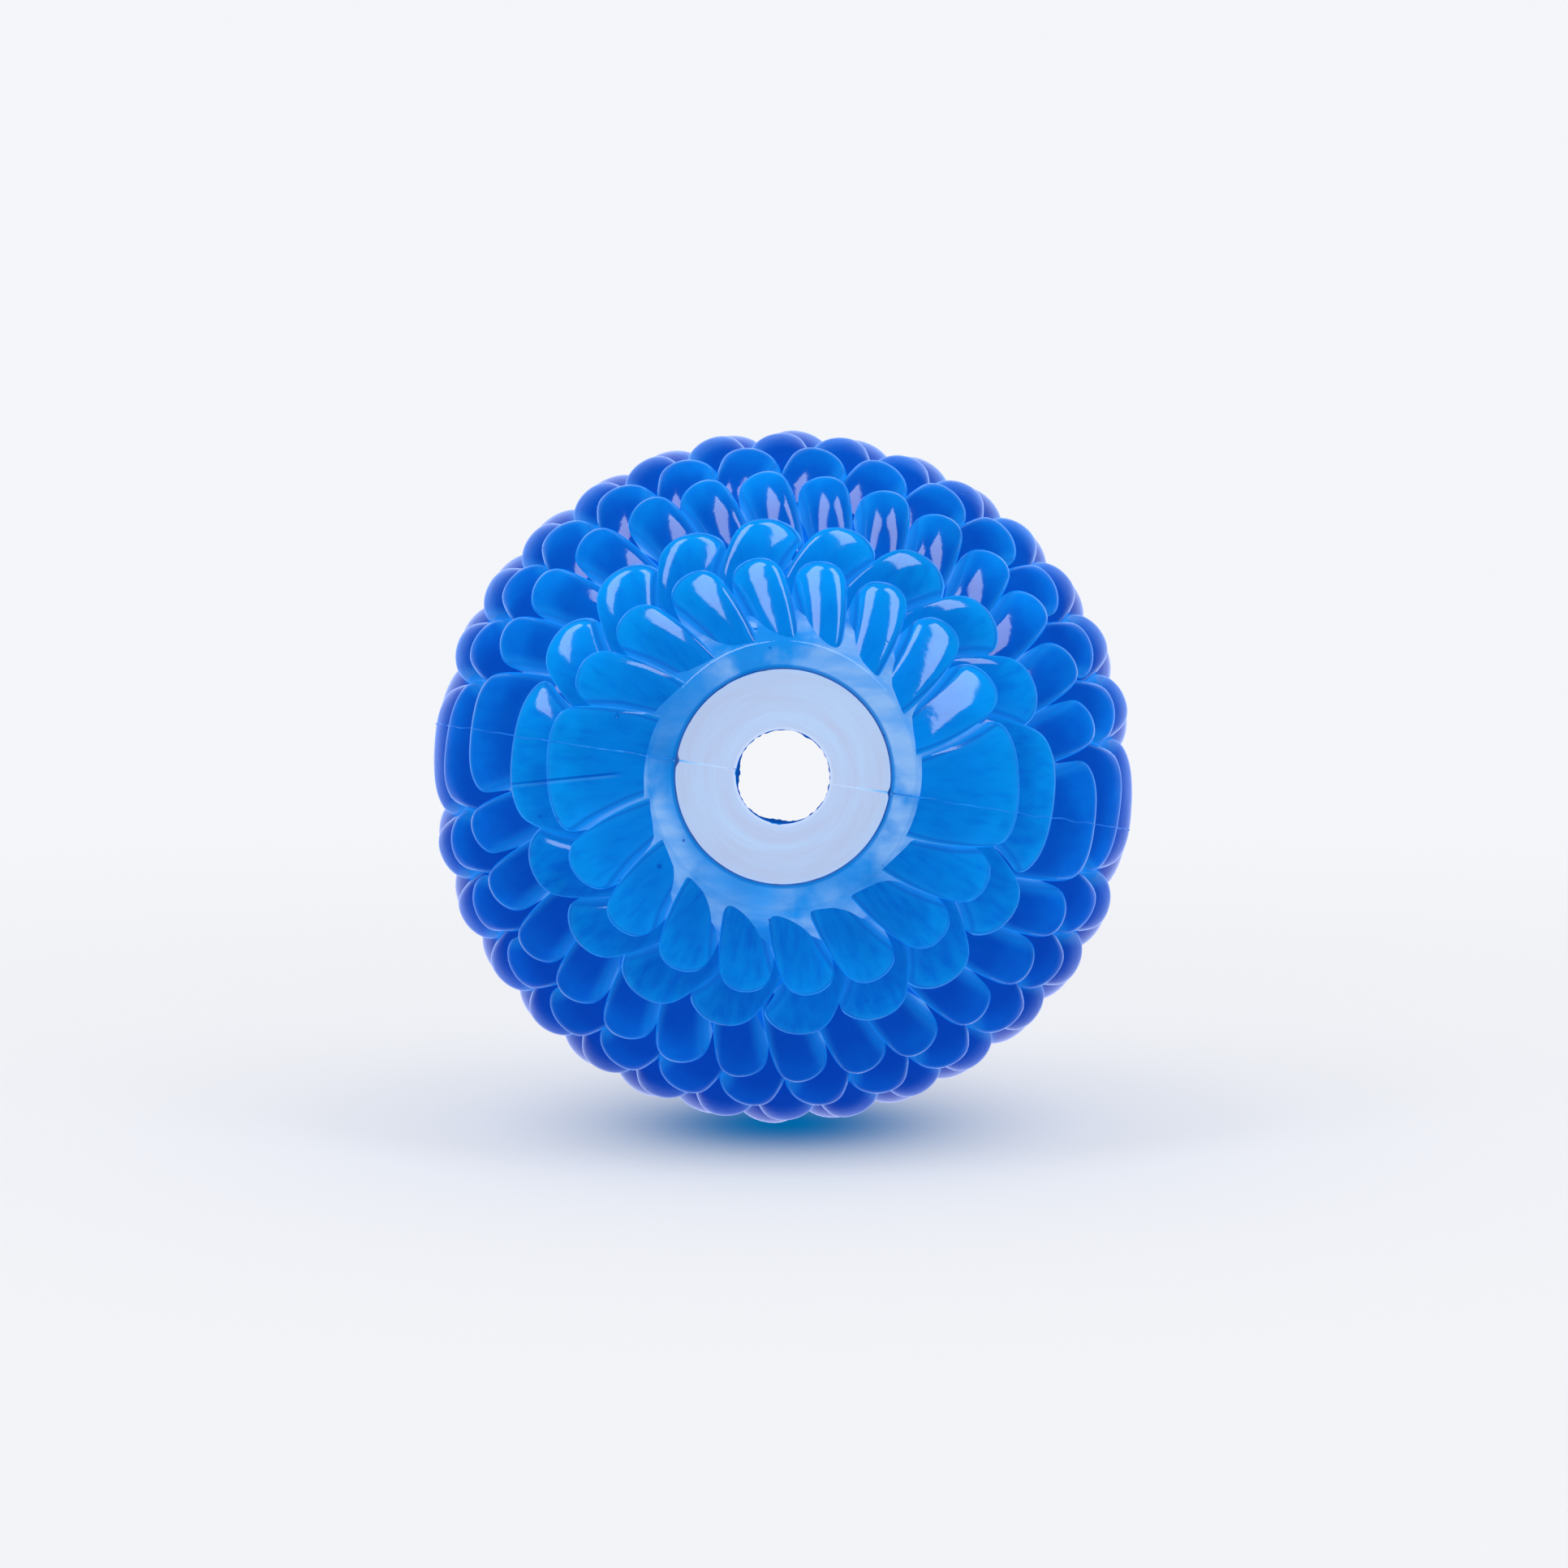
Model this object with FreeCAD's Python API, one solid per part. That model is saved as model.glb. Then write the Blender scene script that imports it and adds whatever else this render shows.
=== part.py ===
import FreeCAD, Part
import math
import os
from collections import namedtuple

# Squeezable rubber ball with a tapered hole right through it and rings of overlapping scales outside.
# Two identical half mouldings are bonded at a seam that contains the hole's axis.
#
# Frame: origin at the ball's centre, Y along the hole with the wide mouth at -Y, +Z up as the ball
# lies. The halves are drawn with the seam level and turned together by seam_roll at the end.
# Angles named polar are measured at the centre from the wide mouth's axis, -Y. Angles named azimuth
# are measured about Y from +X towards +Z, in the level seam frame. All lengths are millimetres.

# overall
face_to_face = 65.0         # between the flat rims round the two mouths
core_radius = 32.0          # smooth ball under the scales
crown_rise = 1.9            # a scale's outer end is centred this far above the smooth ball
root_sink = 2.0             # a scale's inner end is centred this far below it
crown_drop = 0.55           # how much nearer the centre scales lie at the ball's top and bottom
seam_roll = 8.7             # lie of the seam about Y, its +X side down

# hole
wide_mouth_radius = 9.9
narrow_mouth_radius = 5.0
wide_land = 3.0             # straight length behind the wide mouth's chamfer
narrow_land = 4.0           # straight length behind the narrow mouth's chamfer
mouth_chamfer = 0.6
wide_rim_radius = 13.0      # outside of the flat rim round the wide mouth
narrow_rim_radius = 12.0    # outside of the flat rim round the narrow mouth
rim_bite = 2.0              # how far each rim's collar runs on into the smooth ball

# scales
scale_half_width = 3.9
scale_half_thickness = 2.4
scale_roll = 10.0           # tilt about a scale's length, so that one long edge laps its neighbour
mouth_scale_roll = 14.0     # the same for the two rings next to the wide mouth
ring_dip = 2.4              # degrees by which a ring lies nearer its mouth at its top and bottom

# bond between the halves
bond_thickness = 0.3
bond_proud = 0.25           # how far the bond stands out of the ball and its scales

# cutting
overrun = 1.0               # how far the hole's cutter reaches past each rim face

# One ring of scales: polar angle of the scale tips, polar angle of their roots, whole scales in a
# half, azimuths of the first and last of their tips, azimuth by which a tip leads its root, azimuth
# of the scale on the seam, half its straight width.
Ring = namedtuple("Ring", "tip root count first last lead on_seam half_straight")

# The rings from the wide mouth to the narrow one.
RINGS = (
    Ring(40.3, 20.5, 8, 161.1, 34.0, 9.0, 184.2, 2.9),
    Ring(48.6, 27.0, 8, 155.7, 28.2, -12.0, 179.7, 3.0),
    Ring(62.0, 44.0, 13, 162.2, 19.2, 5.0, 179.7, 2.6),
    Ring(72.5, 56.0, 13, 164.2, 19.7, -5.0, 181.7, 2.6),
    Ring(83.5, 67.0, 14, 167.6, 22.0, 4.0, 184.7, 2.6),
    Ring(95.0, 78.5, 14, 162.0, 17.0, -4.0, 179.5, 2.6),
    Ring(106.0, 90.0, 14, 167.6, 22.0, 4.0, 184.7, 2.6),
    Ring(117.0, 101.0, 13, 164.2, 19.7, -5.0, 181.7, 2.6),
    Ring(128.0, 112.0, 13, 162.2, 19.2, 5.0, 179.7, 2.6),
    Ring(140.0, 122.0, 8, 155.7, 28.2, -12.0, 179.7, 3.0),
    Ring(152.0, 132.0, 8, 161.1, 34.0, 9.0, 184.2, 2.9),
)

crown_radius = core_radius + crown_rise
root_radius = core_radius - root_sink

ORIGIN = FreeCAD.Vector(0, 0, 0)
ALONG_Y = FreeCAD.Vector(0, 1, 0)


def direction(polar, azimuth):
    """Unit vector at a polar and an azimuth angle in degrees."""
    p = math.radians(polar)
    a = math.radians(azimuth)
    return FreeCAD.Vector(math.sin(p) * math.cos(a), -math.cos(p), math.sin(p) * math.sin(a))


def unit_ball():
    """A sphere of radius 1 whose poles lie on Y and whose seam edge lies underneath, at -Z."""
    ball = Part.makeSphere(1.0)
    ball.rotate(ORIGIN, FreeCAD.Vector(1, 0, 0), -90)
    ball.rotate(ORIGIN, ALONG_Y, 90)
    return ball


def plain_ball(radius):
    """The smooth ball under the scales, its poles inside the hole."""
    ball = unit_ball()
    ball.scale(radius)
    return ball


def placed(shape, axes, radii, centre):
    """The shape with its X, Y and Z stretched by radii along three axes and moved to a centre."""
    rows = [[axes[column][row] * radii[column] for column in range(3)] + [centre[row]] for row in range(3)]
    matrix = FreeCAD.Matrix(*rows[0], *rows[1], *rows[2], 0, 0, 0, 1)
    return shape.transformGeometry(matrix)


def scale_frame(ring, azimuth, roll, grow=0.0):
    """Axes, radii and centre of one scale: along its length, across it, and out of the ball."""
    poleward = math.sin(math.radians(azimuth)) ** 2
    drop = crown_drop * poleward
    tip_at = direction(ring.tip - ring_dip * poleward, azimuth) * (crown_radius - drop)
    root_at = direction(ring.root - ring_dip * poleward / 2, azimuth - ring.lead) * (root_radius - drop)
    centre = (tip_at + root_at) * 0.5
    along = tip_at - root_at
    half_length = along.Length / 2
    along.normalize()
    out = centre - along * centre.dot(along)
    out.normalize()
    across = out.cross(along)
    turn = math.radians(roll)
    leaning = across * math.cos(turn) + out * math.sin(turn)
    out = out * math.cos(turn) - across * math.sin(turn)
    radii = (half_length + grow, scale_half_width, scale_half_thickness + grow)
    return (along, leaning, out), radii, centre


def whole_scale(ring, azimuth, roll):
    """A rounded scale: an ellipsoid with its tip raised and its root sunk in the core."""
    axes, radii, centre = scale_frame(ring, azimuth, roll)
    return placed(unit_ball(), axes, radii, centre)


def seam_scale(ring, azimuth, grow=0.0):
    """A wide scale on the seam: the same section drawn out straight across the seam."""
    axes, radii, centre = scale_frame(ring, azimuth, 0.0, grow)
    straight = ring.half_straight / scale_half_width
    lower = FreeCAD.Vector(0, -straight, 0)
    upper = FreeCAD.Vector(0, straight, 0)
    corner_low = FreeCAD.Vector(1, -straight, 0)
    corner_high = FreeCAD.Vector(1, straight, 0)
    bend = math.sqrt(0.5)
    outline = Part.Wire([
        Part.makeLine(FreeCAD.Vector(0, straight + 1, 0), FreeCAD.Vector(0, -straight - 1, 0)),
        Part.Arc(lower - ALONG_Y, lower + FreeCAD.Vector(bend, -bend, 0), corner_low).toShape(),
        Part.makeLine(corner_low, corner_high),
        Part.Arc(corner_high, upper + FreeCAD.Vector(bend, bend, 0), upper + ALONG_Y).toShape(),
    ])
    capsule = Part.Face(outline).revolve(ORIGIN, ALONG_Y, 360)
    capsule.rotate(ORIGIN, ALONG_Y, 90)
    return placed(capsule, axes, radii, centre)


def cylinder(radius, start, end):
    """A cylinder round Y between two stations."""
    return Part.makeCylinder(radius, end - start, FreeCAD.Vector(0, start, 0), ALONG_Y)


def bore():
    """The hole: chamfered mouths, a straight land behind each and a cone between the lands."""
    front = -face_to_face / 2
    back = face_to_face / 2
    wide = wide_mouth_radius
    narrow = narrow_mouth_radius
    profile = [
        (0, front - overrun), (wide + mouth_chamfer + overrun, front - overrun),
        (wide, front + mouth_chamfer), (wide, front + mouth_chamfer + wide_land),
        (narrow, back - mouth_chamfer - narrow_land), (narrow, back - mouth_chamfer),
        (narrow + mouth_chamfer + overrun, back + overrun), (0, back + overrun),
    ]
    points = [FreeCAD.Vector(radius, station, 0) for radius, station in profile]
    return Part.Face(Part.makePolygon(points + points[:1])).revolve(ORIGIN, ALONG_Y, 360)


def slab(low, high):
    """The space between two heights above the seam plane and between the two rim faces."""
    reach = crown_radius * 2
    return Part.makeBox(2 * reach, face_to_face, high - low,
                        FreeCAD.Vector(-reach, -face_to_face / 2, low))


def collar_foot(radius):
    """Station, from the centre, of the inner end of a collar of a given radius."""
    return min(face_to_face / 2, math.sqrt(core_radius ** 2 - radius ** 2)) - rim_bite


def collars():
    """The two collars that end in the flat rims."""
    front = cylinder(wide_rim_radius, -face_to_face / 2, -collar_foot(wide_rim_radius))
    back = cylinder(narrow_rim_radius, collar_foot(narrow_rim_radius), face_to_face / 2)
    return [front, back]


def half_moulding():
    """The moulding above the seam, drawn with the seam level."""
    solids = collars()
    for number, ring in enumerate(RINGS):
        mouth_ring = number < 2 or number > len(RINGS) - 3
        roll = math.copysign(mouth_scale_roll if mouth_ring else scale_roll, ring.lead)
        step = (ring.first - ring.last) / (ring.count - 1)
        solids += [whole_scale(ring, ring.first - step * n, roll) for n in range(ring.count)]
        solids += [seam_scale(ring, ring.on_seam), seam_scale(ring, ring.on_seam - 180)]
    ball = plain_ball(core_radius).multiFuse(solids)
    return ball.cut(bore()).common(slab(bond_thickness / 2, crown_radius * 2))


def bond():
    """The bead that fills the seam on the +X side, proud of the scales and flush in the hole."""
    solids = collars()
    for ring in RINGS:
        solids.append(seam_scale(ring, ring.on_seam - 180, bond_proud))
    ball = plain_ball(core_radius + bond_proud).multiFuse(solids)
    right = Part.makeBox(crown_radius * 2, face_to_face, bond_thickness,
                         FreeCAD.Vector(0, -face_to_face / 2, -bond_thickness / 2))
    return ball.common(right).cut(bore())


def rolled(shape, extra=0):
    """A copy turned about the hole's axis by the seam's lie and an extra angle."""
    copy = shape.copy()
    copy.rotate(ORIGIN, ALONG_Y, seam_roll + extra)
    return copy


def export(name, shape):
    """Writes one piece as a single solid and prints its size."""
    if shape.ShapeType == "Compound" and len(shape.Solids) == 1:
        shape = shape.Solids[0]
    shape.exportStep("parts/" + name + ".step")
    box = shape.BoundBox
    print(name, shape.isValid(), len(shape.Solids), len(shape.Faces), round(shape.Volume, 1),
          [round(v, 2) for v in (box.XMin, box.XMax, box.YMin, box.YMax, box.ZMin, box.ZMax)])


def main():
    os.makedirs("parts", exist_ok=True)
    half = half_moulding()
    export("upper_half", rolled(half))
    export("lower_half", rolled(half, 180))
    bead = bond()
    export("seam_bond_right", rolled(bead))
    export("seam_bond_left", rolled(bead, 180))


main()
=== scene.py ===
"""A squeezable translucent rubber ball with a tapered hole and rings of lapping scales."""

import logging
import math
from dataclasses import dataclass, field
from enum import Enum
from typing import Any, Mapping, Sequence

import bpy
import numpy as np
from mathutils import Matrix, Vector


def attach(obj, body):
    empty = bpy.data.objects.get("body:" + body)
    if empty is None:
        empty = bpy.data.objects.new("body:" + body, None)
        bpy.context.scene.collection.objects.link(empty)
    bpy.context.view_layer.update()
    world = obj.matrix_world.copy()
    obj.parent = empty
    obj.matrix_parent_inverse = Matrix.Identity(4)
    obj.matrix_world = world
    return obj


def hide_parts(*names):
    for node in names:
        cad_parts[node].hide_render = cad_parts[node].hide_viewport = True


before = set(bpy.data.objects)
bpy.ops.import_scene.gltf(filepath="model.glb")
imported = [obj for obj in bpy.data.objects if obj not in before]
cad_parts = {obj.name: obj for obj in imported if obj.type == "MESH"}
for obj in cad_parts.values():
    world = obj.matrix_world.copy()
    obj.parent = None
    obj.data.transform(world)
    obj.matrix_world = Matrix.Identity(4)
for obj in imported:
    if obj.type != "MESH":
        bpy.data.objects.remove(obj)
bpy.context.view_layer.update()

MM = 0.001
LOG = logging.getLogger("ball")


class Half(Enum):
    """The two mouldings: the same shape, the second turned half a turn about the hole."""

    UPPER = 0
    LOWER = 1

    @property
    def label(self) -> str:
        """The moulding's name as its pieces carry it."""
        return self.name.lower()


class Stretch(Enum):
    """Which rings of scales one piece carries."""

    FRONT = "front"
    BACK = "back"


class LapSide(Enum):
    """The long edge of a scale that stands over its neighbour."""

    LOW_AZIMUTH = -1
    HIGH_AZIMUTH = 1


# ---------------------------------------------------------------- sizes


@dataclass(frozen=True)
class BallSizes:
    """Sizes of the whole ball, in millimetres and degrees.

    Polar angles are measured at the centre from the wide mouth's axis, -Y, and azimuths about Y
    from +X towards +Z, with the seam at 0 and 180 before the ball is rolled.
    """

    face_to_face: float = 65.0
    seam_roll: float = 8.7
    core: float = 31.6
    squash: float = 0.016
    wide_mouth: float = 9.9
    narrow_mouth: float = 5.0
    narrow_land: float = 4.0
    mouth_round: float = 0.3
    wide_rim: float = 12.3
    narrow_rim: float = 11.4
    skirt_radius: float = 15.0
    skirt_drop: float = 2.75

    @property
    def front(self) -> float:
        """Station of the flat rim round the wide mouth."""
        return -self.face_to_face / 2

    @property
    def back(self) -> float:
        """Station of the flat rim round the narrow mouth."""
        return self.face_to_face / 2


@dataclass(frozen=True)
class Ring:
    """One ring of scales on a half moulding.

    tip and root are polar angles, first and last the azimuths of the end whole scales' tips, lead
    the azimuth by which tips lead roots, and glow how much light from the mouth reaches the ring.
    merged is how far the scales at the ball's sides run together at their roots.
    """

    tip: float
    root: float
    count: int
    first: float
    last: float
    lead: float
    glow: float
    notch: float = 2.7
    lap: float = 0.45
    crown: float = 1.4
    risen_by: float = 0.96
    merged: float = 0.0
    seam_square: float = 4.5

    @property
    def pitch(self) -> float:
        """Azimuth between neighbouring tips."""
        return (self.first - self.last) / (self.count - 1)

    @property
    def lap_side(self) -> LapSide:
        """A scale stands over the neighbour that its tip leans away from."""
        return LapSide.LOW_AZIMUTH if self.lead > 0 else LapSide.HIGH_AZIMUTH


RINGS: tuple[Ring, ...] = (
    Ring(40.3, 18.8, 8, 161.1, 34.0, 9.0, 1.0, notch=3.5, lap=0.6, crown=1.15, risen_by=0.2, merged=1.0),
    Ring(48.6, 32.0, 8, 155.7, 28.2, -12.0, 0.8, notch=3.0, lap=0.5),
    Ring(62.0, 41.0, 13, 162.2, 19.2, 5.0, 0.25),
    Ring(72.5, 54.0, 13, 164.2, 19.7, -5.0, 0.1),
    Ring(83.5, 64.5, 14, 167.6, 22.0, 4.0, 0.0),
    Ring(95.0, 75.5, 14, 162.0, 17.0, -4.0, 0.0),
    Ring(106.0, 87.0, 14, 167.6, 22.0, 4.0, 0.0),
    Ring(117.0, 98.0, 13, 164.2, 19.7, -5.0, 0.05),
    Ring(128.0, 109.0, 13, 162.2, 19.2, 5.0, 0.15),
    Ring(140.0, 119.5, 8, 155.7, 28.2, -12.0, 0.4, notch=3.0, lap=0.5),
    Ring(152.0, 131.0, 8, 161.1, 34.0, 9.0, 0.6, notch=3.0, lap=0.5),
)
FRONT_RINGS = 5


# ---------------------------------------------------------------- shader maths


class Signal:
    """A number that varies over a surface. Arithmetic on it adds Math nodes to its shader."""

    def __init__(self, shader: "Shader", socket: bpy.types.NodeSocket) -> None:
        """Wraps one output socket of the shader."""
        self.shader = shader
        self.socket = socket

    def __add__(self, other: "Signal | float") -> "Signal":
        """This plus the other."""
        return self.shader.math("ADD", self, other)

    def __sub__(self, other: "Signal | float") -> "Signal":
        """This less the other."""
        return self.shader.math("SUBTRACT", self, other)

    def __rsub__(self, other: float) -> "Signal":
        """The other less this."""
        return self.shader.math("SUBTRACT", other, self)

    def __mul__(self, other: "Signal | float") -> "Signal":
        """This times the other."""
        return self.shader.math("MULTIPLY", self, other)

    def __truediv__(self, other: "Signal | float") -> "Signal":
        """This over the other."""
        return self.shader.math("DIVIDE", self, other)

    def __pow__(self, other: float) -> "Signal":
        """This to a power."""
        return self.shader.math("POWER", self, other)

    def __rtruediv__(self, other: float) -> "Signal":
        """The other over this."""
        return self.shader.math("DIVIDE", other, self)

    __radd__ = __add__
    __rmul__ = __mul__

    def smooth(self, low: float, high: float) -> "Signal":
        """0 at or past low, 1 at or past high and an S-curve between, either one the larger."""
        settings = {"interpolation_type": "SMOOTHSTEP"}
        if low < high:
            made = self.shader.node("ShaderNodeMapRange", settings, {0: self, 1: low, 2: high})
            return Signal(self.shader, made.outputs[0])
        return 1 - self.smooth(high, low)


class Shader:
    """A node tree under construction."""

    def __init__(self, tree: bpy.types.NodeTree) -> None:
        """Clears the tree."""
        self.tree = tree
        tree.nodes.clear()

    def node(
        self,
        kind: str,
        settings: Mapping[str, Any] | None = None,
        inputs: Mapping[str | int, Any] | None = None,
    ) -> bpy.types.Node:
        """Adds a node.

        Args:
            kind: The node's type.
            settings: Its properties, set before its inputs.
            inputs: A value, socket or Signal for each input, by name or number.

        Returns:
            The new node.
        """
        made = self.tree.nodes.new(kind)
        for key, value in (settings or {}).items():
            setattr(made, key, value)
        for key, value in (inputs or {}).items():
            source = value.socket if isinstance(value, Signal) else value
            if isinstance(source, bpy.types.NodeSocket):
                self.tree.links.new(source, made.inputs[key])
            else:
                made.inputs[key].default_value = source
        return made

    def math(self, operation: str, *values: "Signal | float") -> Signal:
        """The result of one Math operation on signals or numbers."""
        made = self.node("ShaderNodeMath", {"operation": operation}, dict(enumerate(values)))
        return Signal(self, made.outputs[0])

    def mark(self, name: str) -> Signal:
        """A number kept at the mesh's corners."""
        return Signal(self, self.node("ShaderNodeAttribute", {"attribute_name": name}).outputs["Fac"])

    def place(self) -> bpy.types.NodeSocket:
        """The point's place in the ball's own frame, in metres."""
        return self.node("ShaderNodeTexCoord").outputs["Object"]

    def stretched(self, stretch: Sequence[float]) -> bpy.types.NodeSocket:
        """The point's place, multiplied along X, Y and Z."""
        inputs = {0: self.place(), 1: stretch}
        return self.node("ShaderNodeVectorMath", {"operation": "MULTIPLY"}, inputs).outputs[0]

    def axes(self, vector: bpy.types.NodeSocket) -> tuple[Signal, Signal, Signal]:
        """A vector's three numbers."""
        made = self.node("ShaderNodeSeparateXYZ", None, {0: vector})
        x, y, z = (Signal(self, socket) for socket in made.outputs)
        return x, y, z

    def noise(self, scale: float, detail: float, vector: bpy.types.NodeSocket | None = None) -> Signal:
        """Cloud noise between 0 and 1 with about scale patches to the metre."""
        inputs = {"Vector": vector or self.place(), "Scale": scale, "Detail": detail}
        return Signal(self, self.node("ShaderNodeTexNoise", None, inputs).outputs[0])

    def dots(self, scale: float, size: float, share: float) -> Signal:
        """1 inside scattered dots: scale cells to the metre, size and kept share parts of one."""
        cell = self.node("ShaderNodeTexVoronoi", None, {"Vector": self.place(), "Scale": scale})
        colours = self.node("ShaderNodeSeparateColor", None, {0: cell.outputs["Color"]})
        luck = Signal(self, colours.outputs[0])
        round_dot = Signal(self, cell.outputs["Distance"]).smooth(size, size * 0.5)
        return round_dot * luck.smooth(share + 0.01, share - 0.01)

    def mix(self, factor: "Signal | float", low: Any, high: Any) -> bpy.types.NodeSocket:
        """A colour part of the way from low to high, each a colour or a socket."""
        inputs = {0: factor}
        for place, value in ((6, low), (7, high)):
            inputs[place] = value if isinstance(value, bpy.types.NodeSocket) else (*value, 1.0)
        return self.node("ShaderNodeMix", {"data_type": "RGBA"}, inputs).outputs[2]

    def scaled(self, colour: bpy.types.NodeSocket, amount: "Signal | float") -> bpy.types.NodeSocket:
        """A colour made lighter or darker by an amount."""
        made = self.node("ShaderNodeVectorMath", {"operation": "SCALE"}, {0: colour, "Scale": amount})
        return made.outputs[0]

    def bump(self, height: Signal, distance: float) -> bpy.types.NodeSocket:
        """A normal pushed about by a height from 0 to 1 that stands for a distance in metres."""
        inputs = {"Height": height, "Distance": distance, "Strength": 1.0}
        return self.node("ShaderNodeBump", None, inputs).outputs[0]


def new_material(name: str) -> tuple[bpy.types.Material, Shader]:
    """An empty material and its shader."""
    made = bpy.data.materials.new(name)
    made.use_nodes = True
    return made, Shader(made.node_tree)


Colour = tuple[float, float, float]


# ---------------------------------------------------------------- finishes


@dataclass(frozen=True)
class Rubber:
    """What all the ball's clear blue rubber has in common; colours are linear, lengths in metres.

    Light that goes in at the mouths comes out again through the thin rubber round them, so the
    rubber is royal blue far from a mouth and azure beside one. The light inside is an emission.
    relief is what the grain's full height stands for.
    """

    royal: Colour = (0.0002, 0.112, 0.66)
    azure: Colour = (0.0006, 0.262, 0.81)
    navy: Colour = (0.0002, 0.035, 0.40)
    # Pale colour of the painted highlight on the scales' tip edges, also the light side of the flow line.
    sheen_and_flow_line: Colour = (0.14, 0.40, 0.86)
    surface_share: float = 0.3
    inner_light: float = 0.78
    roughness: float = 0.075
    specular: float = 0.34
    refraction: float = 1.48
    relief: float = 0.00008

    def body(self, shader: Shader, glow: Signal) -> bpy.types.NodeSocket:
        """Royal blue turning azure with the glow, with soft clouds in the rubber."""
        clouds = shader.noise(75, 3) * 0.7 + shader.noise(330, 4) * 0.3
        reach = glow + (clouds - 0.5) * 0.9
        blue = shader.mix(reach.smooth(-0.15, 1.35), self.royal, self.azure)
        return shader.scaled(blue, clouds * 0.9 + 0.58)

    def grain(self, shader: Shader) -> Signal:
        """The mould's fine tooling and the slight waviness of cast rubber, as a height."""
        tooling = shader.noise(2300, 2, shader.stretched((1.0, 0.5, 1.0)))
        waves = shader.noise(240, 2)
        pits = shader.dots(520, 0.12, 0.12)
        return tooling * 0.07 + waves * 0.9 - pits * 0.2

    def surface(
        self,
        shader: Shader,
        colour: bpy.types.NodeSocket,
        inner: "Signal | float",
        roughness: Signal,
        height: Signal,
    ) -> None:
        """Joins a colour, its inner light, a roughness and a height into the material's output.

        Args:
            shader: The material's shader.
            colour: The rubber's colour.
            inner: Share of the colour that shines from inside.
            roughness: The surface's roughness.
            height: The fine relief, from 0 to 1.
        """
        body = shader.node("ShaderNodeBsdfPrincipled", None, {
            "Base Color": shader.scaled(colour, self.surface_share),
            "Roughness": roughness,
            "IOR": self.refraction,
            "Specular IOR Level": self.specular,
            "Emission Color": shader.scaled(colour, inner),
            "Emission Strength": 1.0,
            "Normal": shader.bump(height, self.relief),
        })
        shader.node("ShaderNodeOutputMaterial", None, {0: body.outputs[0]})


@dataclass(frozen=True)
class ScaleRubber(Rubber):
    """Glossy lapping scales, with a painted highlight along their tip edges and painted shade in the creases.
    """

    rim_light: Colour = (0.012, 0.3, 0.86)
    nick: Colour = (0.6, 0.72, 0.95)

    def streaks(self, shader: Shader, glow: Signal) -> Signal:
        """Streaks that run out from the mouths, read from the marks turn and down."""
        unrolled = {0: shader.mark("turn"), 1: shader.mark("down") * 0.25}
        flow = shader.node("ShaderNodeCombineXYZ", None, unrolled).outputs[0]
        return (shader.noise(150, 4, flow) - 0.5) * (glow.smooth(0.1, 0.9) * 1.3 + 0.4)

    def dirtied(self, shader: Shader, colour: bpy.types.NodeSocket, glow: Signal) -> bpy.types.NodeSocket:
        """Adds dark specks by the wide mouth on the left and a flow line in the left seam scale."""
        x, _, z = shader.axes(shader.place())
        dirty = (x * -1 - z * 0.6).smooth(-0.004, 0.012) * glow.smooth(0.5, 0.9)
        specks = shader.dots(520, 0.2, 0.14) * dirty * shader.noise(120, 1).smooth(0.42, 0.6)
        off_line = z - x * 0.097 - 0.0018
        flow = glow.smooth(0.6, 0.9) * x.smooth(-0.0265, -0.0255) * x.smooth(-0.0145, -0.0165)
        dark_line = flow * shader.math("ABSOLUTE", off_line).smooth(0.00016, 0.00006)
        light_line = flow * shader.math("ABSOLUTE", off_line + 0.00026).smooth(0.00018, 0.00006)
        colour = shader.mix(specks * 0.6, colour, self.navy)
        colour = shader.mix(dark_line * 0.6, colour, self.navy)
        return shader.mix(light_line * 0.13, colour, self.sheen_and_flow_line)

    def material(self) -> bpy.types.Material:
        """Builds the material from the marks edge, inset, depth, valley, glow, lump, turn and down."""
        made, shader = new_material("scale_rubber")
        glow, valley = shader.mark("glow"), shader.mark("valley")
        x, _, z = shader.axes(shader.place())
        # Painted light: a glow at the ball's bottom by the floor, where light comes through the rubber.
        contact_glow = z.smooth(-0.0315, -0.0342) * shader.math("ABSOLUTE", x).smooth(0.016, 0.008)
        # Painted light: the scales bluer and glowing more towards the top, as if lit from above.
        lit_from_above = z.smooth(-0.034, 0.034)
        inset = shader.mark("inset") + (shader.noise(190, 3) - 0.5) * 0.1
        border = inset.smooth(0.5, 0.08)
        inner_line = inset.smooth(0.12, 0.19) * inset.smooth(0.28, 0.2)
        reach = glow + (shader.mark("lump") - 0.5) * 0.15 + contact_glow * 0.2 + border * 0.22
        colour = self.body(shader, reach + self.streaks(shader, glow) + lit_from_above * 0.5 - 0.16)
        # Painted shade: darker towards the bottom of the ball, in the creases at the scales' roots and in the
        # valleys between scales; then a dark line inside each scale's border.
        crease_shade = shader.mark("depth").smooth(0.08, 0.58) * (0.72 - glow * 0.38)
        low = z.smooth(0.0, -0.034) * 0.34
        for dark in (low, crease_shade, valley * 0.35, inner_line * (glow * 0.1 + 0.4)):
            colour = shader.mix(dark, colour, self.navy)
        colour = shader.mix(border * (0.5 - glow * 0.25), colour, self.rim_light)
        colour = self.dirtied(shader, colour, glow)
        # Painted highlight: a pale line along each scale's tip edge, broken up by noise.
        sheen_breakup = shader.noise(260, 3).smooth(0.3, 0.62)
        line = shader.mark("edge").smooth(0.25, 0.85) * (sheen_breakup * 0.5 + 0.45)
        colour = shader.mix(line * 0.75, colour, self.sheen_and_flow_line)
        colour = shader.mix(shader.dots(230, 0.06, 0.05) * 0.7, colour, self.nick)
        roughness = shader.noise(140, 4) * 0.06 + (self.roughness - 0.02) + valley * 0.1
        inner = self.inner_light + lit_from_above * 0.12 + contact_glow * 0.08
        self.surface(shader, colour, inner, roughness, self.grain(shader))
        return made


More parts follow.
